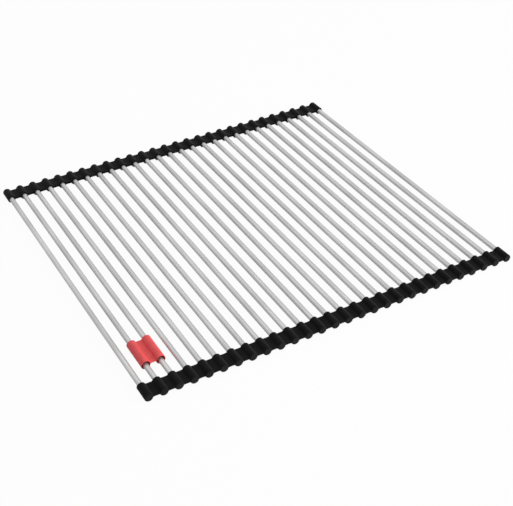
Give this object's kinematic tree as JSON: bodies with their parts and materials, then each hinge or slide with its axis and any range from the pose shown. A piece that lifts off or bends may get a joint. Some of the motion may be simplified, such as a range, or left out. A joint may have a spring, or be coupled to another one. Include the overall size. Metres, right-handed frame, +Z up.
{
  "type": "roll up dish drying rack",
  "caption": "Roll-up drying rack: parallel steel tubes set in a flexible moulded strip at each end, with a sliding clip round neighbouring tubes.",
  "frame": {"origin": "under the middle of the flat rack, on the surface it lies on", "axes": "+X along the end strips, from the first tube to the last; +Y along the tubes, from the end the clip is near to the other; +Z up"},
  "size_m": [0.4686, 0.427, 0.0106],
  "materials": {
    "tube": "satin",
    "strip": "matte",
    "clip": "satin"
  },
  "bodies": {
    "held_pair": {"rod_02": "tube", "rod_03": "tube", "strip_link_02_03": "strip"},
    "slider": {"clip": "clip"},
    "row_01": {"rod_01": "tube", "strip_link_01": "strip"},
    "row_04": {"rod_04": "tube", "strip_link_04": "strip"},
    "row_05": {"rod_05": "tube", "strip_link_05": "strip"},
    "row_06": {"rod_06": "tube", "strip_link_06": "strip"},
    "row_07": {"rod_07": "tube", "strip_link_07": "strip"},
    "row_08": {"rod_08": "tube", "strip_link_08": "strip"},
    "row_09": {"rod_09": "tube", "strip_link_09": "strip"},
    "row_10": {"rod_10": "tube", "strip_link_10": "strip"},
    "row_11": {"rod_11": "tube", "strip_link_11": "strip"},
    "row_12": {"rod_12": "tube", "strip_link_12": "strip"},
    "row_13": {"rod_13": "tube", "strip_link_13": "strip"},
    "row_14": {"rod_14": "tube", "strip_link_14": "strip"},
    "row_15": {"rod_15": "tube", "strip_link_15": "strip"},
    "row_16": {"rod_16": "tube", "strip_link_16": "strip"},
    "row_17": {"rod_17": "tube", "strip_link_17": "strip"},
    "row_18": {"rod_18": "tube", "strip_link_18": "strip"},
    "row_19": {"rod_19": "tube", "strip_link_19": "strip"},
    "row_20": {"rod_20": "tube", "strip_link_20": "strip"},
    "row_21": {"rod_21": "tube", "strip_link_21": "strip"},
    "row_22": {"rod_22": "tube", "strip_link_22": "strip"},
    "row_23": {"rod_23": "tube", "strip_link_23": "strip"},
    "row_24": {"rod_24": "tube", "strip_link_24": "strip"},
    "row_25": {"rod_25": "tube", "strip_link_25": "strip"},
    "row_26": {"rod_26": "tube", "strip_link_26": "strip"},
    "row_27": {"rod_27": "tube", "strip_link_27": "strip"},
    "row_28": {"rod_28": "tube", "strip_link_28": "strip"}
  },
  "joints": [
    {"name": "clip_slide", "type": "slide", "parent": "held_pair", "child": "slider", "axis": [0, 1, 0], "range_m": [-0.0238, 0.3252]},
    {"name": "web_01_02", "type": "hinge", "parent": "held_pair", "child": "row_01", "pos_m": [-0.221, 0, 0.00585], "axis": [0, 1, 0], "range_deg": [0, 35], "stiffness_Nm_per_rad": 0.035},
    {"name": "web_03_04", "type": "hinge", "parent": "held_pair", "child": "row_04", "pos_m": [-0.187, 0, 0.00585], "axis": [0, -1, 0], "range_deg": [0, 36], "stiffness_Nm_per_rad": 0.035},
    {"name": "web_04_05", "type": "hinge", "parent": "row_04", "child": "row_05", "pos_m": [-0.17, 0, 0.00585], "axis": [0, -1, 0], "range_deg": [0, 24], "stiffness_Nm_per_rad": 0.035},
    {"name": "web_05_06", "type": "hinge", "parent": "row_05", "child": "row_06", "pos_m": [-0.153, 0, 0.00585], "axis": [0, -1, 0], "range_deg": [0, 24.5], "stiffness_Nm_per_rad": 0.035},
    {"name": "web_06_07", "type": "hinge", "parent": "row_06", "child": "row_07", "pos_m": [-0.136, 0, 0.00585], "axis": [0, -1, 0], "range_deg": [0, 25], "stiffness_Nm_per_rad": 0.035},
    {"name": "web_07_08", "type": "hinge", "parent": "row_07", "child": "row_08", "pos_m": [-0.119, 0, 0.00585], "axis": [0, -1, 0], "range_deg": [0, 25.5], "stiffness_Nm_per_rad": 0.035},
    {"name": "web_08_09", "type": "hinge", "parent": "row_08", "child": "row_09", "pos_m": [-0.102, 0, 0.00585], "axis": [0, -1, 0], "range_deg": [0, 26], "stiffness_Nm_per_rad": 0.035},
    {"name": "web_09_10", "type": "hinge", "parent": "row_09", "child": "row_10", "pos_m": [-0.085, 0, 0.00585], "axis": [0, -1, 0], "range_deg": [0, 26.5], "stiffness_Nm_per_rad": 0.035},
    {"name": "web_10_11", "type": "hinge", "parent": "row_10", "child": "row_11", "pos_m": [-0.068, 0, 0.00585], "axis": [0, -1, 0], "range_deg": [0, 27], "stiffness_Nm_per_rad": 0.035},
    {"name": "web_11_12", "type": "hinge", "parent": "row_11", "child": "row_12", "pos_m": [-0.051, 0, 0.00585], "axis": [0, -1, 0], "range_deg": [0, 28], "stiffness_Nm_per_rad": 0.035},
    {"name": "web_12_13", "type": "hinge", "parent": "row_12", "child": "row_13", "pos_m": [-0.034, 0, 0.00585], "axis": [0, -1, 0], "range_deg": [0, 28.5], "stiffness_Nm_per_rad": 0.035},
    {"name": "web_13_14", "type": "hinge", "parent": "row_13", "child": "row_14", "pos_m": [-0.017, 0, 0.00585], "axis": [0, -1, 0], "range_deg": [0, 29.5], "stiffness_Nm_per_rad": 0.035},
    {"name": "web_14_15", "type": "hinge", "parent": "row_14", "child": "row_15", "pos_m": [0, 0, 0.00585], "axis": [0, -1, 0], "range_deg": [0, 30], "stiffness_Nm_per_rad": 0.035},
    {"name": "web_15_16", "type": "hinge", "parent": "row_15", "child": "row_16", "pos_m": [0.017, 0, 0.00585], "axis": [0, -1, 0], "range_deg": [0, 31], "stiffness_Nm_per_rad": 0.035},
    {"name": "web_16_17", "type": "hinge", "parent": "row_16", "child": "row_17", "pos_m": [0.034, 0, 0.00585], "axis": [0, -1, 0], "range_deg": [0, 32], "stiffness_Nm_per_rad": 0.035},
    {"name": "web_17_18", "type": "hinge", "parent": "row_17", "child": "row_18", "pos_m": [0.051, 0, 0.00585], "axis": [0, -1, 0], "range_deg": [0, 33], "stiffness_Nm_per_rad": 0.035},
    {"name": "web_18_19", "type": "hinge", "parent": "row_18", "child": "row_19", "pos_m": [0.068, 0, 0.00585], "axis": [0, -1, 0], "range_deg": [0, 34], "stiffness_Nm_per_rad": 0.035},
    {"name": "web_19_20", "type": "hinge", "parent": "row_19", "child": "row_20", "pos_m": [0.085, 0, 0.00585], "axis": [0, -1, 0], "range_deg": [0, 35.5], "stiffness_Nm_per_rad": 0.035},
    {"name": "web_20_21", "type": "hinge", "parent": "row_20", "child": "row_21", "pos_m": [0.102, 0, 0.00585], "axis": [0, -1, 0], "range_deg": [0, 37], "stiffness_Nm_per_rad": 0.035},
    {"name": "web_21_22", "type": "hinge", "parent": "row_21", "child": "row_22", "pos_m": [0.119, 0, 0.00585], "axis": [0, -1, 0], "range_deg": [0, 38.5], "stiffness_Nm_per_rad": 0.035},
    {"name": "web_22_23", "type": "hinge", "parent": "row_22", "child": "row_23", "pos_m": [0.136, 0, 0.00585], "axis": [0, -1, 0], "range_deg": [0, 40.5], "stiffness_Nm_per_rad": 0.035},
    {"name": "web_23_24", "type": "hinge", "parent": "row_23", "child": "row_24", "pos_m": [0.153, 0, 0.00585], "axis": [0, -1, 0], "range_deg": [0, 42.5], "stiffness_Nm_per_rad": 0.035},
    {"name": "web_24_25", "type": "hinge", "parent": "row_24", "child": "row_25", "pos_m": [0.17, 0, 0.00585], "axis": [0, -1, 0], "range_deg": [0, 45], "stiffness_Nm_per_rad": 0.035},
    {"name": "web_25_26", "type": "hinge", "parent": "row_25", "child": "row_26", "pos_m": [0.187, 0, 0.00585], "axis": [0, -1, 0], "range_deg": [0, 48.5], "stiffness_Nm_per_rad": 0.035},
    {"name": "web_26_27", "type": "hinge", "parent": "row_26", "child": "row_27", "pos_m": [0.204, 0, 0.00585], "axis": [0, -1, 0], "range_deg": [0, 52.5], "stiffness_Nm_per_rad": 0.035},
    {"name": "web_27_28", "type": "hinge", "parent": "row_27", "child": "row_28", "pos_m": [0.221, 0, 0.00585], "axis": [0, -1, 0], "range_deg": [0, 57.5], "stiffness_Nm_per_rad": 0.035}
  ]
}
